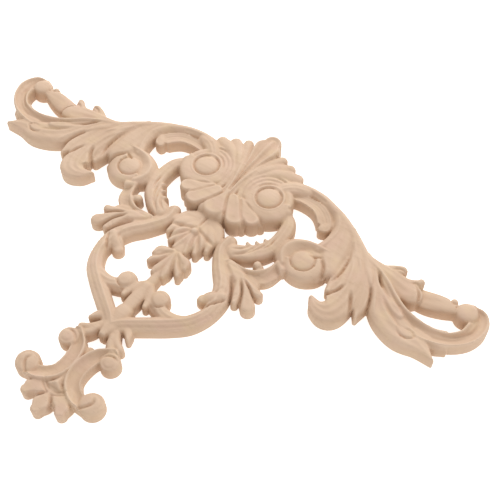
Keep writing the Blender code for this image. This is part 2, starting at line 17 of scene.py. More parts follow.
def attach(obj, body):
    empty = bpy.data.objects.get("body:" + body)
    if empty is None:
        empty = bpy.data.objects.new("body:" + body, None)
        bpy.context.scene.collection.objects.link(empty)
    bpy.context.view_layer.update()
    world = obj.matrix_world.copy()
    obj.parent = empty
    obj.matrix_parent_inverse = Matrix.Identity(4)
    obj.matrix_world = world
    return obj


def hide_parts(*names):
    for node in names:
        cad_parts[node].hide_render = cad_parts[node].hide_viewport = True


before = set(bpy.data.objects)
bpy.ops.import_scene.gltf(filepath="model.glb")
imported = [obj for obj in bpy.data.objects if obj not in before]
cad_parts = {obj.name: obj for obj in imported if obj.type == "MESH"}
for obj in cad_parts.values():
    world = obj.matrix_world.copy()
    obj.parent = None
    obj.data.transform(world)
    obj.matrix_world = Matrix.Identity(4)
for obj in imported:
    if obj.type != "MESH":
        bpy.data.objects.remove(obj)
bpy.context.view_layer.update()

# One drawing unit in metres, and the rise of each kind of member in drawing units
MM = 0.001
SHELL, LEAF, SCROLL = 13.0, 10.0, 9.0

# The half that is carved, and how finely
HALF_WIDTH, TOP_EDGE, BOTTOM_EDGE = 162.0, 43.0, -171.0
STEP = 0.475

# How the members are cut: least height of the wood, fall beside a member and its rounded arris
GROUND = 3.0
WALL_SLOPE = 3.2
EDGE_ROUND = 0.9

# How far from a member its fall is followed, and the margin of a point that no member reaches
WALL_REACH = 5.0
FAR = 50.0

# Points on a curve between two given ones, and the length in which gouge cuts fade out
PATH_STEPS = 10
RUN_OUT = 3.0

# How far sanding pulls a point to its neighbours, and how deep the chisel marks are
SANDING = 0.5
TOOL_MARK_DEPTH = 0.12

# Recess, the depth below the wood around, which colours hollows with painted shade and raised places with a
# painted highlight: how widely that is averaged, its limit, and its value on walls, where it paints shade
RECESS_ROUNDS = 16
RECESS_LIMIT = 1.5
WALL_SHADE_RECESS = 0.5

# Points this near each other are one: in drawing units, and in metres
TOUCHING = 1e-6
WELD = 2e-6

# Sections across a member: place from the right edge (-1) to the left edge (1), and share of the crown
ROUND = ((-1, 0.70), (-0.6, 0.92), (0, 1), (0.6, 0.92), (1, 0.70))
SOFT = ((-1, 0.84), (-0.5, 0.97), (0, 1), (0.5, 0.97), (1, 0.84))
RIB = ((-1, 0.90), (-0.5, 0.96), (0, 1), (0.5, 0.96), (1, 0.90))
PETAL = ((-1, 0.87), (-0.88, 0.97), (-0.7, 0.995), (-0.3, 0.975), (0.3, 0.975), (0.7, 0.995), (0.88, 0.97),
         (1, 0.87))
HOLLOW = ((-1, 0.86), (-0.84, 1), (-0.4, 0.80), (0, 0.72), (0.4, 0.80), (0.84, 1), (1, 0.86))
RIM = ((-1, 0.88), (-0.7, 1), (-0.1, 0.72), (0.5, 0.64), (1, 0.66))
FAN_TIP = ((-1, 0.88), (-0.82, 0.96), (-0.38, 0.89), (0, 1), (0.38, 0.89), (0.82, 0.96), (1, 0.88))
FLUTE = ((-1, 0.88), (-0.45, 0.98), (0.1, 1), (0.55, 0.965), (1, 0.88))
BOWL = ((-1, 0.76), (-0.7, 0.86), (-0.3, 0.94), (0.2, 0.98), (0.6, 1), (1, 1))
TROUGH = ((-1, 0.90), (-0.8, 1), (-0.45, 0.80), (0.1, 0.68), (0.55, 0.72), (0.85, 0.82), (1, 0.74))
FLAT = ((-1, 0.95), (-0.85, 0.99), (-0.1, 0.985), (0, 1), (0.1, 0.985), (0.85, 0.99), (1, 0.95))
LIP = ((-1, 0.93), (-0.4, 0.98), (0.3, 1), (0.8, 0.98), (1, 0.93))
TONGUE = ((-1, 0.86), (-0.8, 0.96), (-0.3, 0.90), (0.3, 0.88), (0.8, 0.95), (1, 0.86))
CREST = ((-1, 0.70), (-0.6, 0.88), (-0.25, 1), (0, 0.97), (0.4, 0.86), (0.8, 0.76), (1, 0.68))

# The wood: its colours, with painted shade and a painted highlight among them, and how often grain, pores and
# tool marks come in a metre
PALE = (0.725, 0.525, 0.378, 1)
TAN = (0.640, 0.450, 0.314, 1)
BLUSH = (0.70, 0.47, 0.36, 1)
STRAW = (0.74, 0.55, 0.35, 1)
FIBRE = (0.52, 0.35, 0.23, 1)
# Walls: a yellower sawn tone, partly real and partly painted shade
SAWN_TONE_AND_SHADE = (0.57, 0.43, 0.31, 1)
# Painted shade, laid into recesses, creases and cuts and onto the walls
RECESS_SHADE = (0.50, 0.31, 0.18, 1)
# Painted highlight, laid on ridges and raised edges
RIDGE_HIGHLIGHT = (0.80, 0.61, 0.46, 1)
PORE = (0.36, 0.21, 0.12, 1)
GRAIN_SCALE = (30, 420, 420)
PORE_SCALE = (260, 2600, 2600)
PATCH_SCALE, MOTTLE_SCALE, BLUSH_SCALE, STRAW_SCALE = 28.0, 320.0, 75.0, 95.0
TOOL_MARK_SCALE = 190.0

# An edge that turns less than this, in radians, is shaded smooth
SMOOTH_TURN = 1.25

# The camera, in metres and degrees
CAMERA_PLACE = (0.17896, -0.24800, 0.36950)
CAMERA_ANGLES = (35.745, -0.026, 34.486)
LENS, FILM = 60.31, 36.0

# The lamps: name, place, side in metres and power in watts, and the point that they look at
LAMPS = (("window", (-0.35, 0.75, 0.75), 0.6, 6.8), ("fill", (0.9, 0.1, 0.7), 0.9, 1.6))
LAMP_TARGET = (0, -0.04, 0)

# The room and the floor, which lies just under the carving's back
ROOM_LIGHT = 0.67
FLOOR_GLOW = 0.68
FLOOR_HALF_WIDTH = 6.0
FLOOR_GAP = 0.0002


def smooth(points):
    """The points of a Catmull-Rom curve through the given points, which may have any number of columns."""
    given = np.array(points, dtype=float)
    ends = np.vstack([2 * given[0] - given[1], given, 2 * given[-1] - given[-2]])
    along = np.linspace(0, 1, PATH_STEPS, endpoint=False)[:, None]
    runs = []
    for before, start, end, after in zip(ends, ends[1:], ends[2:], ends[3:]):
        runs.append(start + 0.5 * along * (
            (end - before) + along * (
                (2 * before - 5 * start + 4 * end - after)
                + along * (3 * (start - end) + after - before)
            )
        ))
    runs.append(given[-1:])
    return np.vstack(runs)


def arc(centre, radius, start, end, count=7):
    """Points on an arc, from one angle to the other in degrees. A pair of radii makes it a spiral."""
    first, last = radius if isinstance(radius, tuple) else (radius, radius)
    points = []
    for step in range(count):
        share = step / (count - 1)
        angle = math.radians(start + (end - start) * share)
        reach = first + (last - first) * share
        points.append((centre[0] + reach * math.cos(angle), centre[1] + reach * math.sin(angle)))
    return points


def spread(values, count):
    """A value for each of the path's points, from one number or a few spaced evenly along it."""
    values = np.atleast_1d(np.array(values, dtype=float))
    if len(values) == count:
        return values
    return np.interp(np.linspace(0, 1, count), np.linspace(0, 1, len(values)), values)


class Relief:
    """How high the wood stands, and how far inside the outline each point lies, at points of the board."""

    def __init__(self, x, y):
        self.x, self.y = x, y
        self.height = np.full(x.shape, GROUND)
        self.margin = np.full(x.shape, -FAR)

    def nearest(self, path, reach):
        """The points near a path: which they are, their row on it and their distance to its left."""
        low, high = path[:, :2].min(axis=0) - reach, path[:, :2].max(axis=0) + reach
        near = np.flatnonzero(
            (self.x > low[0]) & (self.x < high[0]) & (self.y > low[1]) & (self.y < high[1])
        )
        here = np.stack([self.x[near], self.y[near]], axis=1)
        starts, runs = path[:-1, :2], np.diff(path[:, :2], axis=0)
        offsets = here[:, None, :] - starts[None]
        share = np.clip((offsets * runs).sum(axis=2) / (runs ** 2).sum(axis=1), 0, 1)
        gaps = offsets - share[:, :, None] * runs
        distance = np.hypot(gaps[:, :, 0], gaps[:, :, 1])
        pick = distance.argmin(axis=1)
        rows = np.arange(len(near))
        side = np.sign(runs[pick, 0] * gaps[rows, pick, 1] - runs[pick, 1] * gaps[rows, pick, 0])
        return near, pick + share[rows, pick], distance[rows, pick] * np.where(side == 0, 1, side)

    def ribbon(self, points, half_widths, crowns, section=ROUND, flutes=0, depth=0.0):
        """A carved member along a path, with flutes along it. The member with most wood wins."""
        count = len(points)
        path = smooth(np.column_stack([points, spread(half_widths, count), spread(crowns, count)]))
        near, row, aside = self.nearest(path, path[:, 2].max() + WALL_REACH)
        rows = np.arange(len(path))
        half = np.interp(row, rows, path[:, 2])
        crown = np.interp(row, rows, path[:, 3])
        profile = smooth(section)
        across = np.clip(aside / half, -1, 1)
        beyond = np.maximum(np.abs(aside) - half, 0)
        height = crown * np.interp(across, profile[:, 0], profile[:, 1]) - WALL_SLOPE * beyond
        if flutes:
            fade = np.sin(np.pi * np.clip(row / (len(path) - 1), 0, 1)) ** 0.4
            wave = 0.5 + 0.5 * np.cos(np.pi * flutes * (across + 1))
            height -= depth * fade * wave * (np.abs(across) < 0.98)
        inside = half - np.abs(aside)
        self.height[near] = np.maximum(self.height[near], height)
        self.margin[near] = np.maximum(self.margin[near], inside)

    def boss(self, centre, radius, crown, edge):
        """A round knob from its crown in the middle to its edge at the rim, in place of what was there."""
        gap = np.hypot(self.x - centre[0], self.y - centre[1])
        dome = edge + (crown - edge) * np.sqrt(np.clip(1 - (gap / radius) ** 2, 0, 1))
        height = dome - WALL_SLOPE * np.maximum(gap - radius, 0)
        self.height = np.where(gap < radius, dome, np.maximum(self.height, height))
        self.margin = np.maximum(self.margin, radius - gap)

    def groove(self, points, half_width, depth):
        """A V cut along a path that fades out at both of its ends. A negative depth raises a fine ridge."""
        path = smooth(points)
        near, row, aside = self.nearest(path, half_width)
        fade = np.sin(np.pi * np.clip(row / (len(path) - 1), 0.02, 0.98)) ** 0.5
        cut = depth * fade * np.clip(1 - np.abs(aside) / half_width, 0, 1) ** 1.4
        self.height[near] -= cut

    def pyramid(self, corners, crown, edge):
        """A faceted knob over a convex plan given by its corners, anticlockwise."""
        inside = np.full(self.x.shape, FAR)
        for (x, y), (next_x, next_y) in zip(corners, corners[1:] + corners[:1]):
            length = math.hypot(next_x - x, next_y - y)
            beside = ((next_x - x) * (self.y - y) - (next_y - y) * (self.x - x)) / length
            inside = np.minimum(inside, beside)
        rise = edge + (crown - edge) * np.clip(inside / inside.max(), 0, 1)
        self.height = np.where(inside > 0, np.maximum(self.height, rise), self.height)

    def scoops(self, points, half_width, depth, spacing, slant):
        """Shallow gouge cuts side by side along a path, slanted across it."""
        path = smooth(points)
        near, row, aside = self.nearest(path, half_width)
        along = np.concatenate([[0], np.cumsum(np.hypot(*np.diff(path, axis=0).T))])
        place = np.interp(row, np.arange(len(path)), along) + slant * aside
        to_end = np.minimum(place, along[-1] - place)
        fade = np.clip(1 - (aside / half_width) ** 2, 0, 1) * np.clip(to_end / RUN_OUT, 0, 1)
        self.height[near] -= depth * fade * np.abs(np.cos(np.pi * place / spacing))


def carve_shell(relief):
    """Ribs that fan up from the middle and curl round the eyes, and petals that fan down from it."""
    eye = (21.3, 0.2)
    # Low wood behind the notches of the rim, and small leaves that show between the lower petals
    relief.ribbon([(4, 8), (8.4, 26.2)], (1.4, 1.8), 0.6 * SHELL, SOFT)
    for tip in ((6.6, -27.8), (18.2, -22.4), (26.2, -15.6)):
        relief.ribbon([(2, -6), tip], (1.5, 2.2), (0.5 * SHELL, 0.55 * SHELL))
    # The bowl that hangs round each eye, and the lower petals over it
    relief.ribbon(arc(eye, 12.3, -190, -5), 3.4, 0.84 * SHELL, BOWL)
    relief.ribbon(arc(eye, 11.2, -12, 186, 10), 2.8, 0.80 * SHELL, SOFT)
    relief.ribbon([(10, -10.4), (14, -12.2), (18, -15), (21.6, -17.4)], (2.8, 3.9, 4.3, 4.4), 0.86 * SHELL,
                  PETAL)
    relief.ribbon([(5.6, -11.4), (8.6, -15.6), (11.8, -20), (13.2, -21.6)], (3.2, 4.5, 5.2, 5.6),
                  0.91 * SHELL, PETAL)
    relief.ribbon([(0, -14), (5.6, -23.2)], (2.6, 3.6), 0.86 * SHELL, SOFT)
    relief.ribbon([(0, -9), (0, -13), (0, -18), (0, -20.2)], (1.2, 2.8, 6.0, 7.4), 0.92 * SHELL, PETAL)
    # Fine ridges that curl over each eye, outermost first
    for radius, crown in ((16.4, 0.91), (14.0, 0.885), (11.6, 0.86)):
        relief.ribbon(arc(eye, (radius, radius - 0.6), 80, 220, 10), (0.8, 1.4, 1.45, 1.1),
                      (0.78 * SHELL, crown * SHELL, crown * SHELL, 0.78 * SHELL), LIP)
    relief.ribbon([(0, -13), (0, 8)], (4.6, 3.6), 0.84 * SHELL, SOFT)
    # Upper ribs, outermost first
    relief.ribbon([(26, 22.4), (21.5, 20.6), (15.2, 17.2), (9.6, 11.4), (6.2, 4), (5.0, -3), (6.4, -9)],
                  (3.6, 3.8, 3.3, 2.7, 2.1, 1.5, 1.0),
                  (0.74 * SHELL, 0.93 * SHELL, 0.87 * SHELL, 0.82 * SHELL), FLUTE)
    relief.ribbon([(18.6, 25.6), (14.6, 22.2), (9.6, 16.6), (5.8, 9), (3.6, 1), (3.0, -5), (3.6, -10)],
                  (3.6, 3.8, 3.2, 2.4, 1.6, 1.2, 0.9),
                  (0.76 * SHELL, 0.97 * SHELL, 0.88 * SHELL, 0.83 * SHELL), FLUTE)
    relief.ribbon([(11.8, 28.8), (9.6, 24.2), (6.2, 16.4), (3.6, 8), (1.9, 0), (1.3, -6), (1.4, -11)],
                  (3.0, 3.2, 2.7, 1.9, 1.2, 0.9, 0.7), (0.78 * SHELL, 0.98 * SHELL, 0.88 * SHELL), FLUTE)
    relief.ribbon([(0, -8), (0, 2), (0, 16), (0, 30), (0, 36)], (0.7, 1.4, 4.2, 7.6, 5.4),
                  (0.86 * SHELL, 0.95 * SHELL, SHELL, 0.97 * SHELL, 0.86 * SHELL), FAN_TIP)
    # The thin rim of the eye, the groove inside it, and the round eye
    relief.ribbon(arc(eye, 8.5, -180, 178, 14), 1.25, 0.87 * SHELL, SOFT)
    relief.boss(eye, 7.6, 0.755 * SHELL, 0.755 * SHELL)
    relief.boss(eye, 6.9, 0.95 * SHELL, 0.76 * SHELL)
    # Fluted band that runs from the arch to the eye
    relief.ribbon([(22.2, 8.6), (24.8, 11.8), (29.2, 15.6), (36, 18.2)], (3.6, 4.1, 4.2, 3.4),
                  (0.83 * SHELL, 0.88 * SHELL, 0.85 * SHELL, 0.98 * LEAF), SOFT, 4, 0.35)
    # Cuts between the petals, and the start of the bowl
    relief.groove([(1.2, -9.5), (2.6, -13.6), (5.0, -18.6), (8.0, -24), (10.6, -29)], 1.2, 0.12 * SHELL)
    relief.groove([(7.6, -7.6), (11.2, -12.8), (14.8, -17.6), (18.4, -21.8), (21.6, -25.6)], 1.2,
                  0.12 * SHELL)
    relief.groove([(8.0, -6.4), (11.4, -8.8), (15.4, -10.8), (21, -13), (28, -15.4)], 1.1, 0.09 * SHELL)


def carve_arch(relief):
    """The band from the shell to the wing, the low wood behind it and the fluted tongue under it."""
    relief.ribbon([(18, 13), (26, 14), (34, 15.3), (43, 15.3), (51, 12.6), (57, 8), (59.4, 3)],
                  (3.4, 2.8, 2.2, 2.2, 2.4, 2.2, 1.6), 0.5 * LEAF, SOFT)
    relief.ribbon([(24, 8.5), (30, 11), (36, 12.2), (42, 12.2), (47.5, 11), (52.5, 7.5), (55.5, 3.6),
                   (56.5, 2), (55.2, 0.8)],
                  (2.5, 3, 3.2, 3.5, 4.0, 4.4, 4.2, 3.2, 2.2), (0.85 * LEAF, 0.88 * LEAF, 0.82 * LEAF),
                  TONGUE, 5, 0.5)
    relief.ribbon([(24, 17.0), (32, 19.2), (41, 19.4), (50, 17.4), (59, 12.6), (64, 4), (63.5, -5),
                   (61, -12)],
                  (2.6, 2.8, 3.0, 3.2, 3.4, 3.6, 3.4, 3.0), (0.95 * LEAF, LEAF, LEAF, LEAF, LEAF, 0.9 * LEAF),
                  ROUND, 3, 0.4)
    relief.ribbon([(58, 5.4), (55.8, 1.6)], 2.9, 0.79 * LEAF, SOFT)
    relief.groove([(26, 15.9), (34, 17.6), (42, 17.6), (51, 15.4), (58, 10.4), (61.6, 3), (61, -6)], 1.0,
                  0.09 * LEAF)


def carve_wing(relief):
    """The great acanthus leaf: a fan of lobes from the arch, ending in the loop."""
    # Small tongue and bead in the loop
    relief.ribbon([(115, -7), (124, -6.8), (132, -5.4), (138, -4.2)], (5.2, 5.8, 4.9, 3.3),
                  (0.5 * LEAF, 0.72 * LEAF, 0.88 * LEAF, 0.84 * LEAF), RIB, 2, 0.3)
    relief.boss((136, -0.4), 2.2, 0.8 * LEAF, 0.6 * LEAF)
    # Loop band
    relief.ribbon([(112, -24), (122, -26), (133, -26), (143, -23), (150, -16.5), (152.2, -8.5), (150.8, -2),
                   (145.5, 0)],
                  (4.6, 4.8, 4.4, 4.2, 4.7, 5.4, 4.6, 3.6),
                  (0.9 * LEAF, 0.88 * LEAF, 0.9 * LEAF, 0.9 * LEAF, 0.76 * LEAF), HOLLOW, 4, 0.3)
    relief.boss((144.2, -3.4), 6.0, LEAF, 0.68 * LEAF)
    # Long lower leaf, and the ragged end of its upper side
    relief.ribbon([(144.4, -27.6), (138, -28.4), (128, -28.4)], (1.2, 3.2, 4.0), (0.6 * LEAF, 0.78 * LEAF),
                  SOFT)
    relief.ribbon([(85, -1), (94, -8), (102, -17.5), (110, -26.5), (121, -32), (132, -33), (142, -36.8)],
                  (2.5, 4.5, 7.0, 8.0, 7.4, 5.0, 0.8),
                  (0.9 * LEAF, LEAF, LEAF, 0.96 * LEAF, 0.88 * LEAF, 0.74 * LEAF), SOFT, 3, 0.45)
    relief.ribbon([(98, -13), (105, -18), (112, -22.4), (117, -25)], (1.4, 2.8, 3.2, 2.4),
                  (LEAF, 1.05 * LEAF, 1.03 * LEAF), SOFT, 2, 0.4)
    # Upper flag leaf with two curled tips
    relief.ribbon([(97.5, -4.4), (101.8, -0.4), (104.8, 1.4)], (4.6, 3.4, 2.8), (0.85 * LEAF, 0.9 * LEAF),
                  SOFT)
    relief.ribbon([(112, -5), (115.6, -1), (116.4, 0.4)], (4.4, 2.4, 2.0), (0.85 * LEAF, 0.9 * LEAF), SOFT)
    relief.ribbon([(84, -2.4), (92, -4.6), (102, -6), (111, -8.4), (115.4, -9.6)],
                  (2.6, 3.9, 5.0, 6.9, 5.9), (LEAF, LEAF, 0.95 * LEAF, 0.98 * LEAF), SOFT, 3, 0.3)
    # Lobes that hang down, from the outer one to the inner one
    relief.ribbon([(82, 0), (89, -8), (93.5, -18), (96.5, -28), (98.6, -36.8)],
                  (2.0, 3.6, 5.2, 4.8, 1.2), (LEAF, LEAF, 0.95 * LEAF, 0.8 * LEAF), SOFT, 3, 0.3)
    relief.ribbon([(70, 9), (78, 0), (84, -10), (87.4, -22), (87.9, -33), (85.4, -41.5), (79.5, -42.8),
                   (74, -39.4)],
                  (2.0, 4.0, 6.0, 7.4, 7.4, 7.9, 4.8, 1.4), (LEAF, LEAF, LEAF, 0.95 * LEAF, 0.8 * LEAF), SOFT,
                  4, 0.45)
    relief.ribbon([(88, -7), (93.4, -13), (96.6, -18)], (3.2, 2.6, 0.7), (LEAF, 1.05 * LEAF, 1.02 * LEAF),
                  SOFT)
    relief.ribbon([(76, -10), (78, -20), (79, -30.8)], (3.0, 3.4, 2.0), 0.78 * LEAF, SOFT)
    relief.ribbon([(64, 11.2), (67, 4), (69, -5), (70.5, -13), (73, -19.6)], (3.0, 6.0, 7.4, 6.6, 4.6),
                  (LEAF, LEAF, 0.96 * LEAF, 0.92 * LEAF), SOFT, 3, 0.35)
    relief.ribbon([(50, 17.6), (60, 13.4), (71, 7.0), (79.5, 1.4), (86, -3.0), (94, -5.4)],
                  (2.8, 3.4, 3.6, 3.2, 3.0, 3.0), LEAF)
    # Raised midrib, which runs on as the inner rim of the loop
    relief.ribbon([(90, -4.4), (96, -6.8), (103, -11), (110, -16), (118, -20.2), (127, -22), (135, -21.5),
                   (141, -18.8)],
                  (1.3, 1.5, 1.6, 1.6, 1.5, 1.3, 1.1, 0.8),
                  (LEAF, 1.10 * LEAF, 1.08 * LEAF, 0.95 * LEAF, 0.82 * LEAF))
    # Creases between the lobes
    relief.groove([(75, 0), (78, -7), (79.2, -14), (79.0, -20), (77.4, -27)], 1.1, 0.22 * LEAF)
    relief.groove([(84.8, -25), (82.6, -30), (79.4, -34)], 1.5, 0.3 * LEAF)
    relief.groove([(96.2, -17.4), (98.8, -22), (101, -28), (102.6, -34)], 1.2, 0.36 * LEAF)
    relief.groove([(89.6, -27), (92.6, -32), (96, -39)], 1.4, 0.3 * LEAF)
    relief.groove([(94.6, -7.4), (98.4, -11.4), (103.6, -15.8), (110, -19.8)], 1.1, 0.2 * LEAF)
    relief.groove([(116, -4), (119.6, -9), (121.6, -16)], 1.2, 0.24 * LEAF)
    relief.groove([(96.4, -8.2), (98.8, -12.2), (101.8, -15.4)], 1.0, 0.32 * LEAF)
    # Fine ridges along the lobes, the fold of the flap and the rims of the flags
    relief.groove([(73.3, 2.5), (77.3, -4.5), (81.3, -10.5), (83.8, -17), (84.6, -24)], 1.0, -0.05 * LEAF)
    relief.groove([(78.3, -1.5), (83, -7), (88, -12.5), (90.6, -20), (91.6, -28)], 1.0, -0.06 * LEAF)
    relief.groove([(98.3, -16.5), (101.4, -22), (104.5, -29), (107, -33)], 1.0, -0.08 * LEAF)
    relief.groove([(104.4, -20.6), (110, -25), (116, -28.4), (121.5, -31.4)], 1.3, 0.12 * LEAF)
    relief.groove([(118.6, -31.2), (120.8, -33.8), (125, -34.4), (128.6, -32), (126.4, -29.4), (122.4, -30)],
                  0.8, 0.13 * LEAF)
    relief.groove([(100.6, -1.4), (104, 0.8), (108, 0.4)], 1.1, 0.14 * LEAF)
    relief.groove([(112.4, -4.6), (115, -2.6), (118.2, -3.2)], 1.0, 0.12 * LEAF)
    relief.groove([(152.2, -6), (150.6, -13.2), (144, -20), (136, -22.8)], 1.1, 0.1 * LEAF)


def carve_side_scroll(relief):
    """The eye volute under the wing, and the C band with its leaf that falls from the shell's side."""
    eye = (58.6, -23.6)
    relief.ribbon([(51, -17), (57, -14), (64, -16)], (4.0, 5.0, 5.0), 0.76 * LEAF, SOFT)
    relief.ribbon([(54, -22), (63, -22)], 6.0, 0.7 * LEAF, SOFT)
    relief.ribbon([(51.5, -29), (56.5, -31.8), (62.5, -31.9), (68, -28.6), (71, -25)],
                  (2.6, 3.2, 3.3, 3.2, 2.4), 0.6 * LEAF, SOFT)
    relief.ribbon(arc((59, -23.4), 8.8, 215, 385, 9), (2.4, 3.0, 3.2, 2.8), 0.9 * LEAF, BOWL)
    relief.ribbon([(68, -11.4), (58, -12.2), (52.2, -14.6), (48.6, -18.6), (47.8, -24.6), (50.4, -29.6)],
                  (2.4, 3.4, 4.2, 5.2, 5.2, 3.6), (0.94 * LEAF, LEAF, LEAF, 0.92 * LEAF), CREST)
    relief.boss(eye, 7.0, 0.76 * LEAF, 0.76 * LEAF)
    relief.boss(eye, 6.3, LEAF, 0.80 * LEAF)
    relief.groove([(60.4, -19.2), (62.8, -17.8), (66, -16.4)], 1.1, 0.18 * LEAF)
    relief.groove([(47.2, -17.6), (45.8, -22.6), (47.4, -27.6)], 0.9, -0.06 * LEAF)
    relief.groove([(66.2, -17), (70.4, -21.6), (72.8, -29)], 1.3, 0.24 * LEAF)
    # The C band, the small points on its inner side and the creases between them
    relief.ribbon([(31, -2.5), (35.5, -3), (39, -7), (40.4, -14), (40.0, -22), (36.6, -29.5), (31, -34.8),
                   (24.5, -38)],
                  (3.4, 3.8, 4.3, 4.6, 5.0, 5.4, 5.4, 5.2), 0.95 * SCROLL, ROUND, 3, 0.25)
    for tip in ((34.0, -22.4), (31.0, -26.2), (27.2, -29.4)):
        relief.ribbon([(tip[0] + 4, tip[1] - 3), tip], (3.6, 0.8), 0.86 * SCROLL, SOFT)
    for crease in (((33.6, -26.4), (32, -32.4), (29, -37.8), (25.6, -41)),
                   ((30.2, -30.6), (27.4, -35), (23, -38.4)),
                   ((36.6, -22.4), (35.6, -28.6), (32.4, -34.6), (29.4, -38)),
                   ((38.8, -18), (38.8, -24.6), (36.6, -30))):
        relief.groove(crease, 0.9, 0.16 * SCROLL)


def carve_drop(relief):
    """The hooked stem, the S scroll that falls from it, and the side leaf at their fork."""
    for tip, width in (((50.6, -53.2), 2.4), ((50, -62.3), 4.0), ((42.7, -63.8), 2.0)):
        relief.ribbon([(28, -46), (38, -51), tip], (2.5, 3.6, width),
                      (0.9 * SCROLL, 0.9 * SCROLL, 0.8 * SCROLL), SOFT, 2, 0.25)
    relief.ribbon([(50, -29), (49.4, -36), (46.4, -42.6), (38, -46.8), (27, -46.5)],
                  (3.4, 3.6, 4.2, 3.4, 3.0), 0.88 * SCROLL, RIM)
    relief.ribbon([(48.6, -31.6), (52.4, -33.8)], 1.7, 0.93 * SCROLL, RIB)
    relief.ribbon([(43.8, -41.2), (41.8, -39.6)], (2.2, 2.4), (0.8 * SCROLL, 0.92 * SCROLL), SOFT)
    relief.boss((40.2, -38.8), 2.5, 0.98 * SCROLL, 0.76 * SCROLL)
    relief.groove([(47, -31), (46.8, -37), (43.4, -43.4), (36, -46.6), (28, -46.8)], 0.8, 0.1 * SCROLL)
    relief.ribbon([(40, -46.6), (46.2, -49.4)], (3.0, 2.4), 0.68 * SCROLL, SOFT)
    relief.ribbon([(19, -34), (19, -41), (25, -50), (32, -58), (35.4, -67), (35.7, -77), (31.4, -86.2),
                   (24, -93), (14, -100), (4, -107), (0, -111)],
                  (4.0, 4.4, 5.2, 5.4, 5.0, 4.1, 4.5, 4.6, 4.6, 4.4, 4.0), SCROLL, CREST, 4, 0.5)
    relief.ribbon([(36, -65), (31.6, -68.6), (28.4, -71.2)], (2.8, 4.0, 3.4),
                  (SCROLL, 0.96 * SCROLL, 0.74 * SCROLL))
    relief.ribbon([(32, -85), (25, -89.4), (18, -90), (13, -88)], (3.0, 3.7, 3.7, 3.2),
                  (0.9 * SCROLL, 0.95 * SCROLL), ROUND, 3, 0.4)
    relief.ribbon([(7, -88), (15.4, -90.8)], (3.0, 3.2), 0.6 * SCROLL, SOFT)
    relief.boss((10.8, -84.4), 5.5, SCROLL, 0.7 * SCROLL)
    # Creases of the side leaf, folds of the rolled leaf and gouge cuts along the S scroll
    relief.groove([(33, -53), (37.4, -59), (42.6, -69)], 1.1, 0.46 * SCROLL)
    relief.groove([(38.5, -51.6), (43, -57.4), (47, -66)], 1.1, 0.46 * SCROLL)
    relief.groove([(40, -50.4), (45.4, -53.4), (51, -57.6)], 1.0, 0.34 * SCROLL)
    relief.groove([(38.4, -66), (35.2, -71.6), (31.4, -77)], 1.1, 0.3 * SCROLL)
    relief.groove([(33.6, -61.5), (31.6, -66), (27.4, -69.2)], 0.9, 0.12 * SCROLL)
    relief.groove([(7.6, -81.2), (6.6, -85.0), (8.8, -88.4), (12.6, -89.4), (15.6, -87.4)], 0.9,
                  0.13 * SCROLL)
    relief.groove(arc((10.8, -84.6), 3.2, 200, 20, 8), 0.9, 0.07 * SCROLL)
    relief.scoops([(39.6, -59), (40.8, -66), (40.6, -74), (38.6, -82)], 2.6, 0.5, 2.6, 0.7)


def carve_husks(relief):
    """The chain of husks that hangs down the middle."""
    for tip in ((8, -51), (12.6, -46.5), (3.4, -53.5)):
        relief.ribbon([(2, -31), (tip[0] * 0.8, tip[1] + 8), tip], (3, 3.6, 1.8),
                      (0.85 * SCROLL, SCROLL, 0.86 * SCROLL), SOFT)
    relief.ribbon([(0, -28), (9, -32), (14, -38)], (4, 4, 2.6), 0.9 * SCROLL, SOFT)
    relief.ribbon([(0, -26), (0, -40), (0, -53)], (3, 4, 3), (0.9 * SCROLL, SCROLL, 0.8 * SCROLL))
    for tip in ((10.0, -62.4), (9.2, -68), (3.0, -72.5)):
        relief.ribbon([(1, -57.5), (tip[0] * 0.8, tip[1] + 3.4), tip], (2.4, 2.8, 1.6),
                      (0.95 * SCROLL, 0.86 * SCROLL), SOFT)
    relief.ribbon([(0, -50), (0, -58)], (4.4, 3.4), 0.85 * SCROLL)
    relief.ribbon([(0, -70), (0, -82)], (2.8, 3.4), 0.8 * SCROLL)
    relief.ribbon([(0, -80), (5.5, -86), (7, -92)], (3, 3, 1.8), 0.8 * SCROLL, SOFT)
    relief.ribbon([(0, -82), (0, -92), (0, -101)], (3, 4, 3), 0.9 * SCROLL, SOFT)
    # Creases between the lobes, and the knob in the middle of the top husk
    for notch in ((5.9, -55.0), (11.0, -51.4), (15.0, -42.6)):
        relief.groove([(1.0, -38), (notch[0] * 0.55, (notch[1] - 39) / 2), notch], 1.7, 0.2 * SCROLL)
    relief.groove([(0, -25), (0, -31), (0, -38)], 1.7, 0.17 * SCROLL)
    relief.boss((0, -40.2), 2.2, 1.12 * SCROLL, 0.9 * SCROLL)
    for notch in ((11.4, -65.8), (7.2, -73.4)):
        relief.groove([(0.6, -56), (notch[0] * 0.6, (notch[1] - 60) / 2), notch], 1.5, 0.19 * SCROLL)


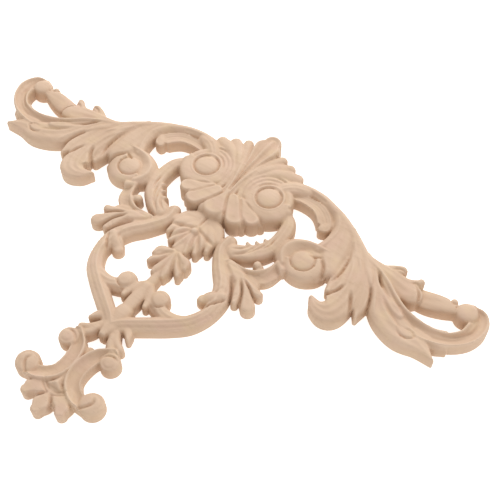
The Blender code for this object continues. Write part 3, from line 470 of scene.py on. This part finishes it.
def carve_foot(relief):
    """The crossed neck, the two C scrolls back to back and the palmette under them."""
    relief.ribbon([(6, -106), (10, -109), (12, -112)], (3, 2.4, 1.4), 0.8 * SCROLL, SOFT)
    relief.ribbon([(3, -112), (8, -116.2), (12.5, -118.5)], (4, 2.5, 2.0), 0.8 * SCROLL, SOFT)
    relief.ribbon([(0, -100), (0, -111), (0.6, -116.6)], (5, 5, 2), 0.95 * SCROLL)
    relief.ribbon([(5, -115), (7.2, -119.5), (12.5, -124)], (2.6, 2.6, 3.2), 0.85 * SCROLL)
    relief.boss((13.3, -127.0), 5.4, 0.95 * SCROLL, 0.7 * SCROLL)
    relief.ribbon([(3, -150), (4.6, -158.4)], (2.4, 1.9), 0.66 * SCROLL, SOFT)
    for tip in ((10.8, -160.2), (0, -165)):
        relief.ribbon([(tip[0] * 0.3, -148), (tip[0] * 0.8, tip[1] + 5), tip], (3, 4.8, 2.8),
                      (0.72 * SCROLL, 0.86 * SCROLL, 0.86 * SCROLL), FLAT)
    relief.ribbon([(0, -127), (0, -143)], (2.4, 2.4), 0.7 * SCROLL)
    relief.ribbon([(11.5, -122.9), (6.0, -128.2), (3.8, -137), (5.5, -145), (12, -150.2), (19, -151)],
                  (3.2, 4.0, 4.4, 4.2, 4.0, 4.0), (0.92 * SCROLL, SCROLL, SCROLL, SCROLL), TROUGH)
    relief.boss((20.5, -148.9), 6.4, 0.98 * SCROLL, 0.72 * SCROLL)
    relief.ribbon([(0, -142), (0, -149)], (1.0, 2.6), (0.9 * SCROLL, 0.84 * SCROLL), SOFT)
    relief.pyramid([(0, -145.6), (-4.4, -152.4), (4.4, -152.4)], 1.08 * SCROLL, 0.84 * SCROLL)
    relief.groove([(11.6, -154.6), (14.6, -156.6), (16.4, -160)], 1.2, 0.36 * SCROLL)
    relief.groove([(1.4, -156), (4.4, -160), (6.4, -166)], 1.2, 0.36 * SCROLL)
    for near, far in ((-154.4, -150.2), (-156.2, -151.8)):
        relief.groove([(0.8, near), (3, near + 0.9), (5.6, near + 2.6), (7.8, far)], 0.75, 0.15 * SCROLL)
    # Fold and rim of the two round ends
    relief.groove([(15.6, -155), (19, -152.2), (21.2, -148.8), (20.2, -146)], 1.1, 0.2 * SCROLL)
    relief.groove(arc((20.5, -148.4), 4.3, -40, 200, 9), 0.9, 0.06 * SCROLL)
    relief.groove([(8.0, -127.6), (10.4, -125.2), (13.4, -124), (16.4, -124.8)], 1.1, 0.18 * SCROLL)
    relief.groove(arc((13.4, -127.8), 2.8, 20, -200, 8), 0.8, 0.06 * SCROLL)


def carving(x, y):
    """The height of the wood and its margin inside the outline, in drawing units, at the given points."""
    relief = Relief(x, y)
    carve_arch(relief)
    carve_wing(relief)
    carve_side_scroll(relief)
    carve_drop(relief)
    carve_husks(relief)
    carve_foot(relief)
    carve_shell(relief)
    inset = np.clip(1 - relief.margin / EDGE_ROUND, 0, 1)
    relief.height -= EDGE_ROUND * (1 - np.sqrt(1 - inset ** 2))
    return relief.height, relief.margin


def columns(verts):
    """The vertices' places as one array for each axis."""
    return np.array([vert.co for vert in verts]).T


def fit_to_outline(verts, step):
    """Move the vertices within half a step of the outline onto it. Gives every vertex's margin."""
    x, y, _ = columns(verts)
    margin = carving(x, y)[1]
    near = np.flatnonzero(np.abs(margin) < 0.5 * step)
    probe, longest, snap = 0.05 * step, 0.4 * step, 0.15 * step
    for _ in range(3):
        here = carving(x[near], y[near])[1]
        slope_x = (carving(x[near] + probe, y[near])[1] - here) / probe
        slope_y = (carving(x[near], y[near] + probe)[1] - here) / probe
        slope_x[x[near] < probe] = 0
        move = np.clip(here / np.maximum(slope_x ** 2 + slope_y ** 2, 0.2), -longest, longest)
        x[near] -= move * slope_x
        y[near] -= move * slope_y
    margin = carving(x, y)[1]
    margin[np.abs(margin) < snap] = 0
    for vert, place_x, place_y in zip(verts, x, y):
        vert.co = (place_x, place_y, 0)
    return margin


def cut_board(step):
    """Half the board as a flat grid, cut along the outline of the carving."""
    board = bmesh.new()
    length = TOP_EDGE - BOTTOM_EDGE
    across, down = round(HALF_WIDTH / step), round(length / step)
    bmesh.ops.create_grid(board, x_segments=across, y_segments=down, size=0.5)
    bmesh.ops.translate(board, verts=board.verts, vec=(0.5, 0.5, 0))
    bmesh.ops.scale(board, verts=board.verts, vec=(HALF_WIDTH, length, 1))
    bmesh.ops.translate(board, verts=board.verts, vec=(0, BOTTOM_EDGE, 0))
    margin = board.verts.layers.float.new("margin")
    board.verts.ensure_lookup_table()
    for vert, value in zip(board.verts, fit_to_outline(board.verts, step)):
        vert[margin] = value
    crossed = [edge for edge in board.edges if edge.verts[0][margin] * edge.verts[1][margin] < 0]
    for edge in crossed:
        start, end = edge.verts
        share = start[margin] / (start[margin] - end[margin])
        bmesh.utils.edge_split(edge, start, share)[1][margin] = 0
    mixed = [
        face for face in board.faces
        if min(vert[margin] for vert in face.verts) < 0 < max(vert[margin] for vert in face.verts)
    ]
    for face in mixed:
        ends = [vert for vert in face.verts if vert[margin] == 0]
        if len(ends) == 2:
            bmesh.utils.face_split(face, ends[0], ends[1])
    outside = [face for face in board.faces if max(vert[margin] for vert in face.verts) <= 0
               or min(vert[margin] for vert in face.verts) < 0]
    bmesh.ops.delete(board, geom=outside, context="FACES")
    board.verts.layers.float.remove(margin)
    return board


def within(place, outline):
    """Whether a place is inside: a line from it to the right crosses an odd number of sides."""
    start_x, start_y, end_x, end_y = outline.T
    level = (start_y > place.y) != (end_y > place.y)
    rise = np.where(level, end_y - start_y, 1)
    meets = start_x + (end_x - start_x) * (place.y - start_y) / rise
    return np.count_nonzero(level & (meets > place.x)) % 2 == 1


def neighbour_mean(values, ends, weight):
    """Each vertex's value blended with the mean of its neighbours' values."""
    total = np.bincount(ends[:, 0], values[ends[:, 1]], len(values))
    total += np.bincount(ends[:, 1], values[ends[:, 0]], len(values))
    count = np.bincount(ends.ravel(), minlength=len(values))
    return values + weight * (total / np.maximum(count, 1) - values)


def mark_levels(board):
    """Give each vertex of the face its height and its recess as attributes."""
    board.verts.index_update()
    x, y, _ = columns(board.verts)
    height = carving(x, y)[0]
    ends = np.array([[vert.index for vert in edge.verts] for edge in board.edges])
    on_rim = np.zeros(len(height), bool)
    for edge in board.edges:
        if edge.is_boundary:
            on_rim[[vert.index for vert in edge.verts]] = True
    sanded = np.where(on_rim, height, neighbour_mean(height, ends, SANDING))
    wide = sanded
    for _ in range(RECESS_ROUNDS):
        wide = neighbour_mean(wide, ends, 1.0)
    hollow = np.clip(wide - sanded, -RECESS_LIMIT, RECESS_LIMIT)
    level = board.verts.layers.float.new("level")
    recess = board.verts.layers.float.new("recess")
    for vert, value, below in zip(board.verts, sanded, hollow):
        vert[level] = value
        vert[recess] = below
    return level, recess


def close_back(board):
    """Fill the flat back between the foot edges of the walls, leaving the pierced holes open."""
    board.verts.index_update()
    foot = [edge for edge in board.edges if edge.is_boundary]
    outline = np.array([[*edge.verts[0].co.xy, *edge.verts[1].co.xy] for edge in foot])
    corners = sorted({vert for edge in foot for vert in edge.verts}, key=lambda vert: vert.index)
    place = {vert: row for row, vert in enumerate(corners)}
    sides = [tuple(place[vert] for vert in edge.verts) for edge in foot]
    inside_only = 1
    filled = delaunay_2d_cdt([vert.co.xy for vert in corners], sides, [], inside_only, TOUCHING)
    triangles, sources = filled[2], filled[3]
    for triangle in triangles:
        back = [corners[sources[corner][0]] for corner in triangle]
        if within(sum((vert.co.xy for vert in back), Vector((0, 0))) / 3, outline):
            board.faces.new(reversed(back))


def blank_half(step):
    """Half the piece pressed flat: face, walls and back, with each vertex's height as an attribute."""
    board = cut_board(step)
    level, recess = mark_levels(board)
    rim = [edge for edge in board.edges if edge.is_boundary]
    # The walls get a fixed recess, so that painted shade darkens them
    for item in bmesh.ops.extrude_edge_only(board, edges=rim)["geom"]:
        if isinstance(item, bmesh.types.BMVert):
            item[level] = 0
            item[recess] = WALL_SHADE_RECESS
    close_back(board)
    middle = [face for face in board.faces if all(abs(vert.co.x) < TOUCHING for vert in face.verts)]
    bmesh.ops.delete(board, geom=middle, context="FACES")
    bmesh.ops.scale(board, verts=board.verts, vec=(MM, MM, MM))
    mesh = bpy.data.meshes.new("carved_relief")
    board.to_mesh(mesh)
    board.free()
    return mesh


class Wire:
    """A node's output. Arithmetic on it adds Math nodes to its tree."""

    def __init__(self, tree, socket=None):
        self.tree, self.socket = tree, socket

    def add(self, kind, settings=None, sockets=None, out=0):
        """A new node with its settings, and values or links for its sockets. Gives one of its outputs."""
        node = self.tree.nodes.new(kind)
        for name, value in (settings or {}).items():
            setattr(node, name, value)
        for name, value in (sockets or {}).items():
            if isinstance(value, Wire):
                self.tree.links.new(value.socket, node.inputs[name])
            else:
                node.inputs[name].default_value = value
        return Wire(self.tree, node.outputs[out])

    def math(self, operation, first, second):
        """The result of a Math node on two values or wires."""
        return self.add("ShaderNodeMath", {"operation": operation}, {0: first, 1: second})

    def __add__(self, other):
        return self.math("ADD", self, other)

    def __sub__(self, other):
        return self.math("SUBTRACT", self, other)

    def __rsub__(self, other):
        return self.math("SUBTRACT", other, self)

    def __mul__(self, other):
        return self.math("MULTIPLY", self, other)

    __radd__ = __add__
    __rmul__ = __mul__

    def clamp(self, low, high):
        """The value mapped from between low and high to between 0 and 1."""
        return self.add("ShaderNodeMapRange", {"clamp": True},
                        {"Value": self, "From Min": low, "From Max": high})


def noise(start, place, scale, detail, roughness=0.5):
    """Soft noise at a place, with so many waves in a unit."""
    return start.add("ShaderNodeTexNoise", None,
                     {"Vector": place, "Scale": scale, "Detail": detail, "Roughness": roughness}, "Fac")


def moved(start, place, setting, value):
    """A place shifted or stretched by a Mapping node's setting."""
    return start.add("ShaderNodeMapping", None, {"Vector": place, setting: value})


def blend(start, share, first, second):
    """A colour between two colours, or wires of them."""
    return start.add("ShaderNodeMix", {"data_type": "RGBA"}, {0: share, 6: first, 7: second}, 2)


def carved_wood():
    """Pale bare wood: soft grain and short pores, with painted shade in the recesses, a painted highlight on
    raised edges, and walls yellower from the saw and darker from painted shade.
    """
    material = bpy.data.materials.new("carved_wood")
    material.use_nodes = True
    tree = material.node_tree
    shader = tree.nodes["Principled BSDF"]
    start = Wire(tree)
    place = start.add("ShaderNodeTexCoord", None, None, "Object")
    fibre = noise(start, moved(start, place, "Scale", GRAIN_SCALE), 1.0, 4.0, 0.6)
    pores = noise(start, moved(start, place, "Scale", PORE_SCALE), 1.0, 1.0).clamp(0.66, 0.78)
    patches = noise(start, place, PATCH_SCALE, 2.0)
    mottle = noise(start, place, MOTTLE_SCALE, 3.0)
    blush = noise(start, moved(start, place, "Location", (3.0, 1.0, 0.0)), BLUSH_SCALE, 3.0)
    straw = noise(start, moved(start, place, "Location", (0.0, 5.0, 2.0)), STRAW_SCALE, 3.0)
    recess = start.add("ShaderNodeAttribute", {"attribute_name": "recess"}, None, "Fac")
    normal = start.add("ShaderNodeNewGeometry", None, None, "Normal")
    up = start.add("ShaderNodeSeparateXYZ", None, {0: normal}, "Z")
    # Faces that turn sideways get a yellower sawn tone, made darker as painted shade
    sawn_and_shaded_side = 1 - up.clamp(0.15, 0.6)
    colour = blend(start, patches.clamp(0.35, 0.65), PALE, TAN)
    for share, tint in (
        (blush.clamp(0.5, 0.7) * 0.5, BLUSH),
        (straw.clamp(0.52, 0.72) * 0.5, STRAW),
        (fibre.clamp(0.45, 0.75) * 0.35, FIBRE),
        # Sawn tone with painted shade on the walls
        (sawn_and_shaded_side * 0.45, SAWN_TONE_AND_SHADE),
        # Painted shade in the recesses and on the walls
        (recess.clamp(0.05, 1.1) * 0.34, RECESS_SHADE),
        # Painted highlight on places that stand above the wood around
        ((0 - recess).clamp(0.1, 0.9) * 0.45, RIDGE_HIGHLIGHT),
        (pores * 0.30, PORE),
    ):
        colour = blend(start, share, colour, tint)
    tree.links.new(colour.socket, shader.inputs["Base Color"])
    rough = 0.58 + 0.14 * fibre + 0.06 * pores
    tree.links.new(rough.socket, shader.inputs["Roughness"])
    grain = mottle * 0.5 + fibre * 0.6 - pores * 0.5
    bump = start.add("ShaderNodeBump", None, {"Strength": 0.35, "Distance": 0.0002, "Height": grain})
    tree.links.new(bump.socket, shader.inputs["Normal"])
    shader.inputs["Specular IOR Level"].default_value = 0.3
    return material


def relief_tree():
    """Lifts a flat half blank to its carved height, adds tool marks, mirrors it and gives it its wood."""
    tree = bpy.data.node_groups.new("carve_relief", "GeometryNodeTree")
    face = tree.interface
    face.new_socket("Blank", in_out="INPUT", socket_type="NodeSocketGeometry")
    rise = face.new_socket("Rise", in_out="INPUT", socket_type="NodeSocketFloat")
    marks = face.new_socket("Tool mark depth", in_out="INPUT", socket_type="NodeSocketFloat")
    wood = face.new_socket("Wood", in_out="INPUT", socket_type="NodeSocketMaterial")
    face.new_socket("Carving", in_out="OUTPUT", socket_type="NodeSocketGeometry")
    start = Wire(tree)
    given = tree.nodes.new("NodeGroupInput")
    blank, rise_in, marks_in, wood_in = (Wire(tree, socket) for socket in given.outputs[:4])
    level = start.add("GeometryNodeInputNamedAttribute", {"data_type": "FLOAT"}, {"Name": "level"},
                      "Attribute")
    place = start.add("GeometryNodeInputPosition")
    chisel = noise(start, place, TOOL_MARK_SCALE, 1.0)
    on_face = level.math("MINIMUM", level, 1.0)
    lift = level * rise_in + (chisel - 0.5) * marks_in * on_face
    offset = start.add("ShaderNodeCombineXYZ", None, {"Z": lift})
    lifted = start.add("GeometryNodeSetPosition", None, {"Geometry": blank, "Offset": offset})
    other = start.add("GeometryNodeTransform", None, {"Geometry": lifted, "Scale": (-1, 1, 1)})
    other = start.add("GeometryNodeFlipFaces", None, {"Mesh": other})
    joined = tree.nodes.new("GeometryNodeJoinGeometry")
    for half in (other, lifted):
        tree.links.new(half.socket, joined.inputs[0])
    both = Wire(tree, joined.outputs[0])
    whole = start.add("GeometryNodeMergeByDistance", None, {"Geometry": both, "Distance": WELD})
    turn = start.add("GeometryNodeInputMeshEdgeAngle", None, None, "Unsigned Angle")
    soft = start.add("GeometryNodeSetShadeSmooth", {"domain": "FACE"},
                     {"Geometry": whole, "Shade Smooth": True})
    gentle = start.add("FunctionNodeCompare", {"data_type": "FLOAT", "operation": "LESS_THAN"},
                       {0: turn, 1: SMOOTH_TURN})
    soft = start.add("GeometryNodeSetShadeSmooth", {"domain": "EDGE"},
                     {"Geometry": soft, "Shade Smooth": gentle})
    plain = start.add("GeometryNodeRealizeInstances", None, {"Geometry": soft})
    done = start.add("GeometryNodeSetMaterial", None, {"Geometry": plain, "Material": wood_in})
    out = tree.nodes.new("NodeGroupOutput")
    tree.links.new(done.socket, out.inputs[0])
    return tree, rise.identifier, marks.identifier, wood.identifier


def carved_piece():
    """The whole carving as one mesh, which stands for the solid."""
    blank = bpy.data.objects.new("blank", blank_half(STEP))
    bpy.context.scene.collection.objects.link(blank)
    tree, rise, marks, wood = relief_tree()
    carve = blank.modifiers.new("Carve", "NODES")
    carve.node_group = tree
    carve[rise] = MM
    carve[marks] = TOOL_MARK_DEPTH * MM
    carve[wood] = carved_wood()
    graph = bpy.context.evaluated_depsgraph_get()
    mesh = bpy.data.meshes.new_from_object(blank.evaluated_get(graph))
    blank.modifiers.clear()
    bpy.data.objects.remove(blank)
    piece = bpy.data.objects.new("carving", mesh)
    bpy.context.scene.collection.objects.link(piece)
    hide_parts("carved_applique")
    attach(piece, "root")


def floor():
    """A plain white floor."""
    mesh = bpy.data.meshes.new("floor")
    shape = bmesh.new()
    bmesh.ops.create_grid(shape, x_segments=1, y_segments=1, size=FLOOR_HALF_WIDTH)
    shape.to_mesh(mesh)
    shape.free()
    ground = bpy.data.objects.new("floor", mesh)
    bpy.context.scene.collection.objects.link(ground)
    ground.location.z = -FLOOR_GAP
    material = bpy.data.materials.new("white_floor")
    material.use_nodes = True
    shader = material.node_tree.nodes["Principled BSDF"]
    shader.inputs["Base Color"].default_value = (0.9, 0.9, 0.9, 1)
    shader.inputs["Roughness"].default_value = 1.0
    shader.inputs["Specular IOR Level"].default_value = 0.0
    shader.inputs["Emission Color"].default_value = (1, 1, 1, 1)
    shader.inputs["Emission Strength"].default_value = FLOOR_GLOW
    mesh.materials.append(material)


def lamp(name, place, side, power):
    """A soft square light that looks at the carving."""
    data = bpy.data.lights.new(name, "AREA")
    data.size, data.energy = side, power
    light = bpy.data.objects.new(name, data)
    bpy.context.scene.collection.objects.link(light)
    light.location = place
    light.rotation_euler = (Vector(LAMP_TARGET) - light.location).to_track_quat("-Z", "Y").to_euler()


def studio():
    """Soft light from behind and above, a bright room, and the camera at the photograph's angle."""
    world = bpy.data.worlds.new("room")
    world.use_nodes = True
    world.node_tree.nodes["Background"].inputs["Color"].default_value = (1, 1, 1, 1)
    world.node_tree.nodes["Background"].inputs["Strength"].default_value = ROOM_LIGHT
    bpy.context.scene.world = world
    for name, place, side, power in LAMPS:
        lamp(name, place, side, power)
    data = bpy.data.cameras.new("camera")
    data.sensor_width = FILM
    data.lens = LENS
    data.clip_start = 0.01
    camera = bpy.data.objects.new("camera", data)
    bpy.context.scene.collection.objects.link(camera)
    camera.location = CAMERA_PLACE
    camera.rotation_euler = [math.radians(angle) for angle in CAMERA_ANGLES]
    bpy.context.scene.camera = camera
    bpy.context.scene.view_settings.view_transform = "Standard"


carved_piece()
floor()
studio()
